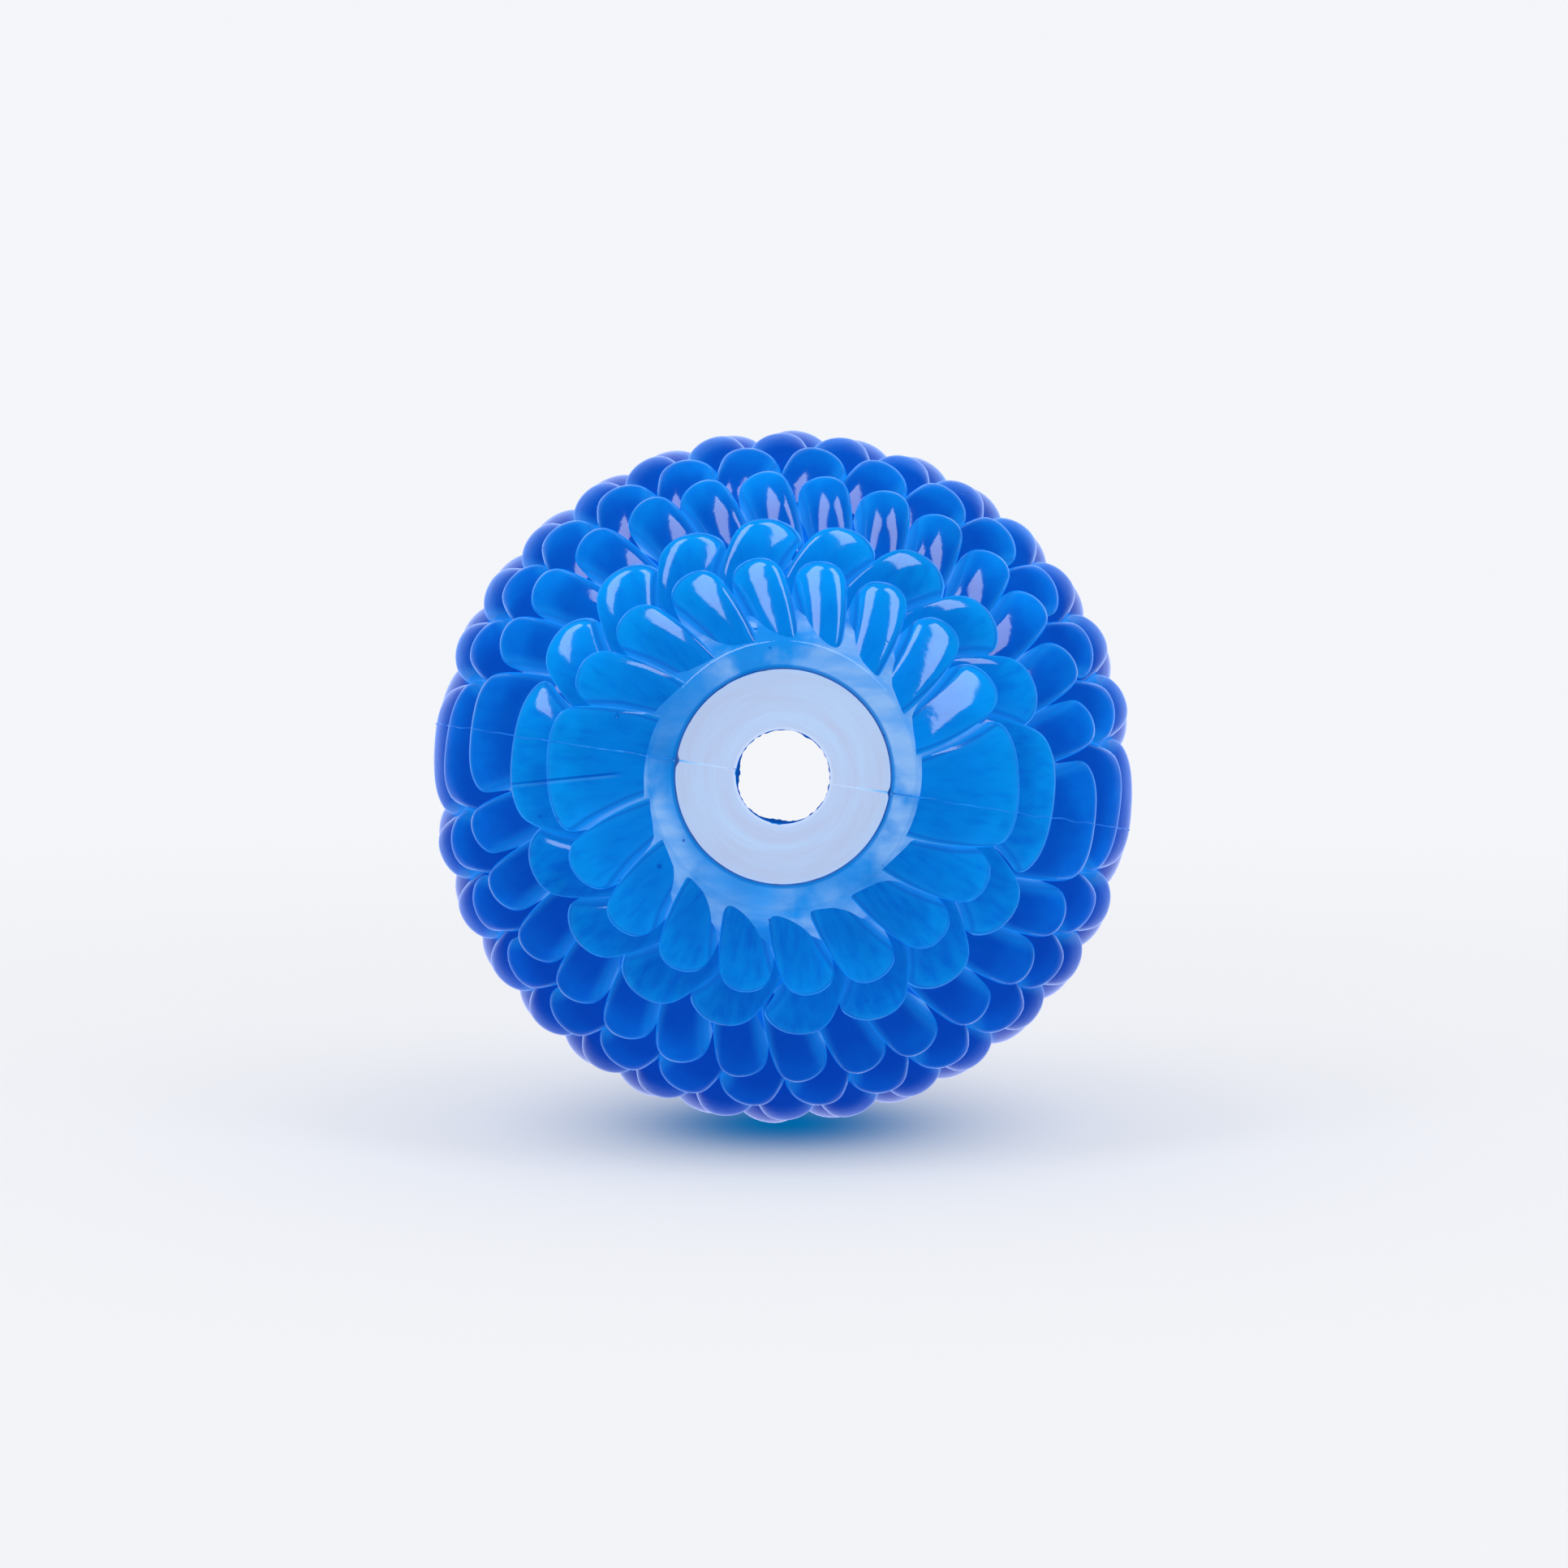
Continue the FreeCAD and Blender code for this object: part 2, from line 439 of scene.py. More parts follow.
@dataclass(frozen=True)
class RimRubber(Rubber):
    """The core: flat rims with a patchy painted reflection, painted shade on the rounded lip, and the ball
    between.

    The material reads the marks rim, lip and glow.
    """

    inner_light: float = 0.84
    relief: float = 0.00018
    # Pale colour of the painted reflection on the flat rims.
    painted_reflection: Colour = (0.27, 0.51, 0.93)
    lip_shade: Colour = (0.002, 0.13, 0.55)

    def material(self) -> bpy.types.Material:
        """Builds the material. It reads the marks rim, lip and glow."""
        made, shader = new_material("rim_rubber")
        rim, glow = shader.mark("rim"), shader.mark("glow")
        # Painted reflection of the surroundings on the flat rims and skirts, in patches and brushed streaks.
        broad = shader.noise(70, 2).smooth(0.36, 0.52) * 0.85 + 0.15
        patches = shader.noise(170, 5).smooth(0.36, 0.56) * broad
        brushed = shader.noise(700, 3, shader.stretched((0.25, 1.0, 1.0))).smooth(0.3, 0.7)
        painted_reflection = rim * (patches * 0.75 + 0.05) * (brushed * 0.6 + 0.6)
        colour = shader.mix(painted_reflection, self.body(shader, glow), self.painted_reflection)
        # Painted shade on the rounded lip round each mouth.
        colour = shader.mix(shader.mark("lip") * 0.45, colour, self.lip_shade)
        colour = shader.mix(shader.dots(760, 0.14, 0.1) * 0.7, colour, self.navy)
        roughness = rim * patches * 0.25 + self.roughness
        inner = self.inner_light - glow * 0.04
        self.surface(shader, colour, inner, roughness, self.grain(shader))
        return made


@dataclass(frozen=True)
class BoreRubber(Rubber):
    """The hole's wall: polished by its core pin, so it mirrors what is behind at a glance."""

    azure: Colour = (0.003, 0.33, 0.74)
    inner_light: float = 0.468
    specular: float = 0.45
    relief: float = 0.000001

    def material(self) -> bpy.types.Material:
        """Builds the material."""
        made, shader = new_material("bore_rubber")
        colour = self.body(shader, shader.noise(50, 2) * 0.3 + 0.6)
        scratches = shader.noise(500, 3, shader.stretched((1.0, 0.08, 1.0)))
        self.surface(shader, colour, self.inner_light, scratches * 0.03 + 0.02, scratches)
        return made


@dataclass(frozen=True)
class FlashRubber(Rubber):
    """Thin flash and the bonded seam: paler where thin, partly a painted highlight on the bead's crest and
    the flash's edge, with dark torn spots, dark in the hole.

    The material reads the mark thin.
    """

    specular: float = 0.4
    name: str = "seam_rubber"
    pale: Colour = (0.03, 0.24, 0.78)
    paleness: float = 0.45
    hole_blue: Colour = (0.003, 0.07, 0.36)

    def material(self) -> bpy.types.Material:
        """Builds the material. It reads the mark thin."""
        made, shader = new_material(self.name)
        x, y, z = shader.axes(shader.place())
        torn = shader.noise(260, 3).smooth(0.55, 0.7)
        glow = shader.math("ABSOLUTE", y).smooth(0.017, 0.03)
        in_hole = ((x * x + z * z) ** 0.5).smooth(0.0106, 0.0101)
        # Paler where thin, and partly a painted highlight on the bead's crest and the flash's inner edge.
        thin = shader.mark("thin") * (1 - torn) * self.paleness
        colour = shader.mix(thin, self.body(shader, glow), self.pale)
        colour = shader.mix(torn * 0.35, colour, self.navy)
        colour = shader.mix(in_hole * 0.9, colour, self.hole_blue)
        roughness = torn * 0.15 + 0.2 + in_hole * 0.6
        self.surface(shader, colour, self.inner_light, roughness, self.grain(shader))
        return made


# ---------------------------------------------------------------- meshes


def put_mesh(
    name: str, points: np.ndarray, faces: np.ndarray, caps: Sequence[np.ndarray], marks: dict[str, np.ndarray]
) -> bpy.types.Object:
    """Makes a smooth-shaded mesh object at the origin.

    Args:
        name: The piece's name.
        points: Corner positions in millimetres, one row each.
        faces: Corner numbers of each four-sided face, counter-clockwise from outside.
        caps: Corner numbers of each flat many-sided face that closes an end.
        marks: Numbers from 0 to 1 kept at each corner under a name, for the material to read.

    Returns:
        The new object, linked to the scene.
    """
    mesh = bpy.data.meshes.new(name)
    mesh.from_pydata((points * MM).tolist(), [], faces.tolist() + [cap.tolist() for cap in caps])
    for key, values in marks.items():
        layer = mesh.attributes.new(key, "FLOAT", "POINT")
        layer.data.foreach_set("value", values.astype(np.float32).ravel())
    smooth = np.arange(len(mesh.polygons)) < len(faces)
    mesh.polygons.foreach_set("use_smooth", smooth)
    mesh.validate()
    mesh.update()
    made = bpy.data.objects.new(name, mesh)
    bpy.context.scene.collection.objects.link(made)
    return made


def sheet_faces(corner: np.ndarray) -> np.ndarray:
    """The four-sided faces between neighbouring rows and columns of a grid.

    Args:
        corner: Corner numbers laid out as the grid.

    Returns:
        Four corner numbers for each face.
    """
    sides = corner[:-1, :-1], corner[:-1, 1:], corner[1:, 1:], corner[1:, :-1]
    return np.stack(sides, -1).reshape(-1, 4)


def tube(rows: int, columns: int, start: int = 0) -> tuple[np.ndarray, list[np.ndarray]]:
    """Faces and flat ends of a grid whose last row joins its first.

    Args:
        rows: Points round the section.
        columns: Points along the tube.
        start: Number of the grid's first point.

    Returns:
        The four-sided faces, and the corners round the first and the last column.
    """
    corner = start + np.arange(rows * columns).reshape(rows, columns)
    return sheet_faces(np.concatenate((corner, corner[:1]))), [corner[:, 0], corner[::-1, -1]]


def rolled(points: np.ndarray, half: Half, sizes: BallSizes) -> np.ndarray:
    """Points of the level upper moulding turned about Y to where the half lies."""
    turn = math.radians(sizes.seam_roll + 180 * half.value)
    x, y, z = points[..., 0], points[..., 1], points[..., 2]
    turned = x * math.cos(turn) + z * math.sin(turn), y, z * math.cos(turn) - x * math.sin(turn)
    return np.stack(turned, -1)


def around(radius: np.ndarray, polar: np.ndarray, azimuth: np.ndarray) -> np.ndarray:
    """Points at a radius from the centre, a polar angle and an azimuth, angles in degrees."""
    p, a = np.radians(polar), np.radians(azimuth)
    return np.stack((radius * np.sin(p) * np.cos(a), -radius * np.cos(p), radius * np.sin(p) * np.sin(a)), -1)


def eased(count: int) -> np.ndarray:
    """count steps from 0 to 1, closer together near both ends: half of one less a cosine."""
    return 0.5 - 0.5 * np.cos(np.linspace(0, math.pi, count))


def wander(angle: np.ndarray, seed: int, waves: int) -> np.ndarray:
    """A smooth random number of about -1 to 1 round a circle: cosines of whole frequencies."""
    luck = np.random.default_rng(seed)
    frequency = np.arange(1, waves + 1)
    size, phase = luck.normal(0, 1, waves) / math.sqrt(waves / 2), luck.uniform(0, 2 * math.pi, waves)
    return (size * np.cos(frequency * np.radians(angle)[..., None] + phase)).sum(-1)


def quarter_round(distance: np.ndarray, radius: float) -> np.ndarray:
    """How far a rounded edge has dropped at a distance in from it: a quarter circle."""
    inside = np.clip(1 - distance / radius, 0, 1)
    return radius * (1 - np.sqrt(1 - inside**2))


# ---------------------------------------------------------------- scales


@dataclass(frozen=True)
class Lanes:
    """Where the rows and columns of one ring's grid run.

    s is 0 at a scale's root and 1 at its tip. dropping is 0 on a scale's back and 1 past the edge
    that drops from it. t is 1 at a scale's high azimuth side and -1 at its low one. number is each
    column's scale, 0 for the halves of the two scales on the seam.
    """

    s: np.ndarray
    dropping: np.ndarray
    azimuth: np.ndarray
    t: np.ndarray
    number: np.ndarray

    @property
    def on_seam(self) -> np.ndarray:
        """Whether each column's scale lies on the seam."""
        return self.number == 0

    @property
    def upright(self) -> np.ndarray:
        """0 at the ball's sides and 1 at its top and bottom."""
        return np.sin(np.radians(self.azimuth)) ** 2


@dataclass(frozen=True)
class Backs:
    """The scales' backs: radius, distances to a scale's side and tip, and narrowing to the root."""

    radius: np.ndarray
    to_side: np.ndarray
    to_tip: np.ndarray
    slender: np.ndarray


@dataclass(frozen=True)
class ScaleRing:
    """One ring of scales on a half, as one closed surface of two parameters, in millimetres.

    Rows run down the scales' backs, down the edges that drop from their tips to the next ring, and
    back to the roots along a bed inside the core. The dips are the degrees by which tips and roots
    lie nearer the wide mouth at the ball's top and bottom.
    """

    ring: Ring
    sizes: BallSizes
    number: int
    rows: int
    columns: int
    crest: float = 34.85
    trough: float = 32.3
    tip_dip: float = 2.4
    root_dip: float = 1.2
    tip_square: float = 2.3
    tip_round: float = 1.5
    side_round: float = 1.3
    drop: float = 2.1
    tuck: float = 0.35
    bed: float = 31.0
    hole_gap: float = 0.9
    edge_rows: int = 5
    bed_rows: int = 4
    unevenness: float = 0.12
    uneven_turn: float = 0.5
    uneven_length: float = 0.5
    first_seed: int = 40

    @property
    def millimetre(self) -> float:
        """The polar angle that a millimetre takes up at the crest."""
        return math.degrees(1 / self.crest)

    @property
    def seam_width(self) -> float:
        """Azimuth across the wide scale on the seam."""
        borders = self.borders()
        return borders[-1] + 180 - borders[0]

    def borders(self) -> np.ndarray:
        """Tip azimuths of the borders between whole scales, high to low."""
        return self.ring.first + self.ring.pitch * (0.5 - np.arange(self.ring.count + 1))

    def lanes(self) -> Lanes:
        """Lays out the grid.

        Borders lean back by the ring's lead towards the root. A scale on the seam reaches from the
        last border of one half to the first of the other, and only the part on this half is made.

        Returns:
            The ring's lanes.
        """
        ring, borders, wide = self.ring, self.borders(), self.seam_width
        down = np.linspace(0, 1, self.rows) ** 0.8
        s = np.concatenate((down, np.ones(self.edge_rows), np.linspace(1, 0, self.bed_rows)))[:, None]
        fall = np.linspace(0, 1, self.edge_rows + 1)[1:]
        dropping = np.concatenate((np.zeros(self.rows), fall, np.ones(self.bed_rows)))[:, None]
        lean = ring.lead * (1 - s)
        across = eased(self.columns)[None, :]
        first = 180 + (borders[0] - lean - 180) * across
        whole = [border - ring.pitch * across - lean for border in borders[:-1]]
        last = (borders[-1] - lean) * (1 - across)
        t_first = 1 - 2 * (borders[0] + wide - lean - first) / wide
        t_whole = np.tile(1 - 2 * across, (len(s), ring.count))
        t_last = 1 - 2 * (borders[-1] - lean - last) / wide
        azimuth = np.concatenate([first, *whole, last], 1)
        t = np.concatenate((t_first, t_whole, t_last), 1)
        numbers = np.concatenate(([0], np.arange(ring.count) + 1, [0]))
        return Lanes(s, dropping, azimuth, t, np.repeat(numbers, self.columns))

    def polars(self, lanes: Lanes, longer: np.ndarray) -> tuple[np.ndarray, np.ndarray]:
        """Polar angles of the grid: the outline of a tip is a superellipse in t.

        Args:
            lanes: The ring's lanes.
            longer: How long each scale is, -1 to 1.

        Returns:
            The polar angle at each row and column, and the angle from root to tip.
        """
        ring = self.ring
        power = np.where(lanes.on_seam, ring.seam_square, self.tip_square)
        notch = np.where(lanes.on_seam, ring.notch * 0.95, ring.notch) * self.millimetre
        bay = 1 - (1 - np.clip(np.abs(lanes.t), 0, 1) ** power) ** (1 / power)
        length = self.uneven_length * longer[lanes.number]
        tip = ring.tip - self.tip_dip * lanes.upright + length - notch * bay
        root = ring.root - self.root_dip * lanes.upright
        return root + (tip - root) * lanes.s, tip - root

    def backs(self, lanes: Lanes, polar: np.ndarray, span: np.ndarray, lift: np.ndarray) -> Backs:
        """Shapes the scales' backs.

        A back rises from the trough to the crest as one less a power, is crowned across as a power
        of t, is rounded by quarter circles at its sides and tip, and tilts so that one side laps
        its neighbour.

        Args:
            lanes: The ring's lanes.
            polar: Polar angle at each row and column.
            span: Polar angle from root to tip.
            lift: How high each scale stands, -1 to 1.

        Returns:
            The scales' backs.
        """
        ring, s, t = self.ring, lanes.s, lanes.t
        width = np.where(lanes.on_seam, self.seam_width, ring.pitch)
        half_width = np.radians(width) / 2 * self.crest * np.sin(np.radians(polar))
        to_side = (1 - np.abs(t)) * half_width
        to_tip = (1 - s) * np.radians(span) * self.crest
        joined = ring.merged * 0.9 * (1 - lanes.upright) * np.clip(1.3 - s * 1.15, 0, 1)
        slender = half_width / half_width[self.rows - 1] * (1 - joined)
        rise = 1 - (1 - np.clip(s / ring.risen_by, 0, 1)) ** 1.6
        crown = np.abs(t) ** np.where(lanes.on_seam, 4, 2.2) * ring.crown * slender
        side_drop = quarter_round(to_side / np.sqrt(slender), self.side_round) * slender
        tip_drop = quarter_round(to_tip, self.tip_round)
        tilt = ring.lap * ring.lap_side.value * np.where(lanes.on_seam, 0.5, 1.0) * np.clip(t, -1, 1)
        radius = self.trough + (self.crest - self.trough) * rise - crown - side_drop - tip_drop
        return Backs(radius + tilt + self.unevenness * lift[lanes.number], to_side, to_tip, slender)

    def surface(self) -> tuple[np.ndarray, dict[str, np.ndarray]]:
        """Points of the ring's skin, kept between the rim planes and clear of the hole.

        Returns:
            The points, and the marks that the scales' material reads.
        """
        sizes, lanes = self.sizes, self.lanes()
        luck = np.random.default_rng(self.first_seed + self.number)
        shift, lift, longer = luck.uniform(-1, 1, (3, self.ring.count + 1))
        polar, span = self.polars(lanes, longer)
        backs = self.backs(lanes, polar, span, lift)
        bedded = (np.arange(len(lanes.s)) >= self.rows + self.edge_rows)[:, None]
        radius = np.where(bedded, self.bed, backs.radius - self.drop * lanes.dropping)
        radius = radius * (1 - sizes.squash * lanes.upright)
        polar = polar - self.tuck * self.millimetre * lanes.dropping
        turned = np.where(lanes.on_seam, 0, self.uneven_turn * shift[lanes.number])
        azimuth = lanes.azimuth + turned
        points = around(radius, polar, azimuth)
        points[..., 1] = np.clip(points[..., 1], sizes.front + 0.03, sizes.back - 0.03)
        reach = np.hypot(points[..., 0], points[..., 2])
        points[..., ::2] *= np.maximum(1, (sizes.wide_mouth + self.hole_gap) / reach)[..., None]
        marks = self.marks(lanes, backs)
        marks |= {"lump": 0.5 + 0.5 * lift[lanes.number], "turn": azimuth / 360, "down": polar / 180}
        return points, {key: np.broadcast_to(values, azimuth.shape) for key, values in marks.items()}

    def marks(self, lanes: Lanes, backs: Backs) -> dict[str, "np.ndarray | float"]:
        """Marks that follow the scales' outlines: bell curves at edges, ramps elsewhere.

        Args:
            lanes: The ring's lanes.
            backs: The scales' backs.

        Returns:
            edge, inset, depth, valley and glow.
        """
        to_edge = np.minimum(backs.to_tip, backs.to_side * 1.7 + 0.25)
        inset = np.minimum(backs.to_tip, backs.to_side * 1.25 + 0.1) / 4
        return {
            "edge": np.exp(-((to_edge / 0.62) ** 2)) * (1 - lanes.dropping),
            "inset": np.clip(inset, 0, 1) + lanes.dropping,
            "depth": np.clip(1 - lanes.s, 0, 1) + lanes.dropping,
            "valley": np.exp(-((backs.to_side / 0.5) ** 2)) * np.clip(backs.slender, 0, 1),
            "glow": self.ring.glow,
        }


# ---------------------------------------------------------------- half mouldings


@dataclass(frozen=True)
class Run:
    """A stretch of the core's outline, radius and station, with its marks, each from 0 to 1."""

    points: np.ndarray
    rim: float = 0.0
    lip: float = 0.0
    hole: float = 0.0


@dataclass
class HalfMoulding:
    """One half of the ball: its core with the rims and hole, and its scales.

    ball_arc holds the polar angles between which the smooth ball shows. cone_spacing is the power
    that crowds the hole's points towards the wide mouth. glow_from and glow_over say at what
    distance from the middle the rubber starts to glow, and over what length it comes to its full.
    """

    half: Half
    scale_finish: bpy.types.Material
    rim_finish: bpy.types.Material
    bore_finish: bpy.types.Material
    sizes: BallSizes = field(default_factory=BallSizes)
    front_rows: int = 22
    front_columns: int = 26
    back_rows: int = 16
    back_columns: int = 18
    core_columns: int = 121
    ball_arc: tuple[float, float] = (149.0, 31.0)
    skirt_power: float = 0.9
    cone_spacing: float = 1.8
    glow_from: float = 22.0
    glow_over: float = 10.0

    def rings(self, stretch: Stretch) -> list[ScaleRing]:
        """The scale rings that a stretch of the half carries."""
        if stretch is Stretch.FRONT:
            chosen, rows, columns = range(FRONT_RINGS), self.front_rows, self.front_columns
        else:
            chosen, rows, columns = range(FRONT_RINGS, len(RINGS)), self.back_rows, self.back_columns
        return [ScaleRing(RINGS[n], self.sizes, n, rows, columns) for n in chosen]

    def scales(self, stretch: Stretch) -> bpy.types.Object:
        """One stretch of scale rings as one object, each ring closed by flat ends at the seam."""
        points, faces, caps, marks, start = [], [], [], {}, 0
        for ring in self.rings(stretch):
            grid, ring_marks = ring.surface()
            rows, columns = grid.shape[:2]
            ring_faces, ring_caps = tube(rows, columns, start)
            points.append(rolled(grid, self.half, self.sizes).reshape(-1, 3))
            faces.append(ring_faces)
            caps += ring_caps
            start += rows * columns
            for key, values in ring_marks.items():
                marks.setdefault(key, []).append(values.ravel())
        joined = {key: np.concatenate(values) for key, values in marks.items()}
        name = f"{self.half.label}_{stretch.value}_scales"
        made = put_mesh(name, np.concatenate(points), np.concatenate(faces), caps, joined)
        made.data.materials.append(self.scale_finish)
        return made

    def runs(self) -> tuple[Run, ...]:
        """The stretches of the core's closed outline.

        The ball is an arc. Each skirt falls away from its rim as a power a little under one, each
        lip is a quarter circle, and the hole is a straight cone that ends in a straight land.

        Returns:
            Ball, wide skirt, rim and lip, the hole, then narrow lip, rim and skirt.
        """
        z = self.sizes
        quarter = np.linspace(0, math.pi / 2, 7)
        cos, sin = z.mouth_round * np.cos(quarter), z.mouth_round * np.sin(quarter)
        arc = np.radians(np.linspace(*self.ball_arc, 60))
        slope = np.linspace(0, 1, 9)
        flat = np.linspace(0, 1, 12)[1:-1, None]
        down_cone = np.linspace(0, 1, 30)[1:, None] ** self.cone_spacing
        wide_lip, narrow_lip = z.wide_mouth + z.mouth_round, z.narrow_mouth + z.mouth_round
        front_in, back_in = z.front + z.mouth_round, z.back - z.mouth_round
        widen, sink = z.skirt_radius - z.wide_rim, z.skirt_drop
        cone_start = np.array([z.wide_mouth, front_in])
        cone_end = np.array([z.narrow_mouth, back_in - z.narrow_land])
        wide_fall = z.front + sink * (1 - slope) ** self.skirt_power
        narrow_fall = z.back - sink * slope**self.skirt_power
        wide_flat = np.array([z.wide_rim, z.front]) + flat * np.array([wide_lip - z.wide_rim, 0])
        narrow_flat = np.array([narrow_lip, z.back]) + flat * np.array([z.narrow_rim - narrow_lip, 0])
        return (
            Run(np.stack((z.core * np.sin(arc), -z.core * np.cos(arc)), 1)),
            Run(np.stack((z.wide_rim + widen * (1 - slope), wide_fall), 1), rim=0.75),
            Run(wide_flat, rim=1.0),
            Run(np.stack((wide_lip - sin, front_in - cos), 1), rim=0.2, lip=1.0),
            Run(cone_start + (cone_end - cone_start) * down_cone, hole=1.0),
            Run(np.stack((narrow_lip - cos, back_in + sin), 1), rim=0.2, lip=1.0),
            Run(narrow_flat, rim=1.0),
            Run(np.stack((z.narrow_rim + widen * slope, narrow_fall), 1), rim=0.75),
        )

    def profile(self) -> tuple[np.ndarray, dict[str, np.ndarray]]:
        """Joins the runs into the core's closed outline.

        Returns:
            Radius and station of each point, and the marks rim, lip, glow and hole.
        """
        runs = self.runs()
        counts = [len(run.points) for run in runs]
        outline = np.concatenate([run.points for run in runs])
        return outline, {
            "rim": np.repeat([run.rim for run in runs], counts),
            "lip": np.repeat([run.lip for run in runs], counts),
            "glow": np.clip((np.abs(outline[:, 1]) - self.glow_from) / self.glow_over, 0, 1),
            "hole": np.repeat([run.hole for run in runs], counts),
        }

    def core(self) -> bpy.types.Object:
        """The core: its outline carried half a turn about the hole's axis, closed at the seam."""
        outline, marks = self.profile()
        azimuth = np.radians(np.linspace(0, 180, self.core_columns))
        radius, station = outline[:, :1], outline[:, 1:]
        sides = np.broadcast_arrays(radius * np.cos(azimuth), station, radius * np.sin(azimuth))
        grid = np.stack(sides, -1)
        rows, columns = grid.shape[:2]
        points = rolled(grid, self.half, self.sizes).reshape(-1, 3)
        spread = {key: np.repeat(values, columns) for key, values in marks.items()}
        made = put_mesh(f"{self.half.label}_core", points, *tube(rows, columns), spread)
        made.data.materials.append(self.rim_finish)
        made.data.materials.append(self.bore_finish)
        in_hole = np.minimum(marks["hole"], np.roll(marks["hole"], -1)) > 0.5
        polished = np.concatenate((np.repeat(in_hole, columns - 1), [False, False]))
        made.data.polygons.foreach_set("material_index", polished.astype(np.int32))
        return made

    def build(self) -> list[bpy.types.Object]:
        """All the half's pieces, riding on the ball and standing for its CAD node."""
        pieces = [self.core(), self.scales(Stretch.FRONT), self.scales(Stretch.BACK)]
        for piece in pieces:
            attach(piece, "root")
            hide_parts(f"{self.half.label}_half")
        return pieces


# ---------------------------------------------------------------- seam and flash


@dataclass(frozen=True)
class Seam:
    """The bonded seam: a fine raised bead that follows the skin from mouth to mouth.

    collar is how many degrees from the ball's waist the flat rims begin. even_over is how many
    steps the running mean takes in. swell is a share of the bead's size and sway a sideways length.
    """

    finish: bpy.types.Material
    sizes: BallSizes = field(default_factory=BallSizes)
    half_width: float = 0.06
    height: float = 0.1
    foot: float = 0.25
    steps: int = 700
    strip_rows: int = 40
    strip_columns: int = 8
    collar: float = 68.0
    even_over: int = 9
    swell: float = 0.3
    swell_waves: int = 60
    swell_seed: int = 7
    sway: float = 0.05
    sway_waves: int = 30
    sway_seed: int = 11

    def skin(self) -> np.ndarray:
        """Points of the ball's outline where the seam plane cuts it, wide mouth to narrow.

        At each polar angle the outline is the outermost of the rings' seam columns and the core,
        held inside the rim planes and evened out by a running mean.

        Returns:
            Radius and station of each point.
        """
        sizes = self.sizes
        start = math.degrees(math.atan2(sizes.wide_mouth + sizes.mouth_round, -sizes.front))
        end = 180 - math.degrees(math.atan2(sizes.narrow_mouth + sizes.mouth_round, sizes.back))
        polar = np.linspace(start, end, self.steps)
        radius = np.full(self.steps, sizes.core)
        for number, ring in enumerate(RINGS):
            strip = ScaleRing(ring, sizes, number, self.strip_rows, self.strip_columns)
            points = strip.surface()[0][: strip.rows, -1]
            out = np.linalg.norm(points, axis=-1)
            along = np.degrees(np.arccos(-points[:, 1] / out))
            radius = np.maximum(radius, np.interp(polar, along, out, left=0, right=0))
        rim = -sizes.front / np.maximum(np.abs(np.cos(np.radians(polar))), 1e-6)
        radius = np.where(np.abs(90 - polar) > self.collar, rim, np.minimum(radius, rim))
        padded = np.pad(radius, self.even_over // 2, mode="edge")
        radius = np.convolve(padded, np.full(self.even_over, 1 / self.even_over), "valid")
        p = np.radians(polar)
        return np.stack((radius * np.sin(p), -radius * np.cos(p)), -1)

    def bead(self, half: Half) -> bpy.types.Object:
        """Makes one side's bead: a half ellipse carried along the skin, its foot in the rubber.

        The section's place across the seam is the half width times a sine, and its place out of
        the skin the height times a cosine, both swelling and thinning along the way.

        Args:
            half: The upper half for the right side's bead, the lower for the left.

        Returns:
            The bead.
        """
        path = self.skin()
        along = np.gradient(path, axis=0)
        along /= np.linalg.norm(along, axis=1)[:, None]
        out = np.stack((-along[:, 1], along[:, 0]), 1)
        out *= np.sign((out * path).sum(1))[:, None]
        run = np.linspace(0, 360, self.steps)
        swell = 1 + self.swell * wander(run, self.swell_seed + half.value, self.swell_waves)[:, None]
        sway = self.sway * wander(run, self.sway_seed + half.value, self.sway_waves)[:, None]
        turn = np.linspace(-math.pi / 2, math.pi / 2, 7)
        side = np.concatenate((np.sin(turn), [1.0, -1.0])) * self.half_width
        rise = np.concatenate((np.cos(turn) * self.height, [-self.foot, -self.foot]))
        lift = np.where(rise > 0, rise * swell, rise)
        flat = path[:, None, :] + out[:, None, :] * lift[..., None]
        across = side * np.clip(swell, 1 - self.swell, 1 + self.swell) + sway
        grid = np.stack((flat[..., 0], flat[..., 1], across), -1).transpose(1, 0, 2)
        rows, columns = grid.shape[:2]
        # 1 on the bead's crest: its thinnest part, and where its painted highlight goes.
        thin = np.repeat(np.clip(rise / self.height, 0, 1), columns)
        side_name = "right" if half is Half.UPPER else "left"
        points = rolled(grid, half, self.sizes).reshape(-1, 3)
        made = put_mesh(f"seam_bead_{side_name}", points, *tube(rows, columns), {"thin": thin})
        made.data.materials.append(self.finish)
        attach(made, "root")
        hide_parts(f"seam_bond_{side_name}")
        return made


@dataclass(frozen=True)
class Burr:
    """A longer tongue of flash: its place round the mouth and width in degrees, its size in mm."""

    place: float
    width: float
    size: float


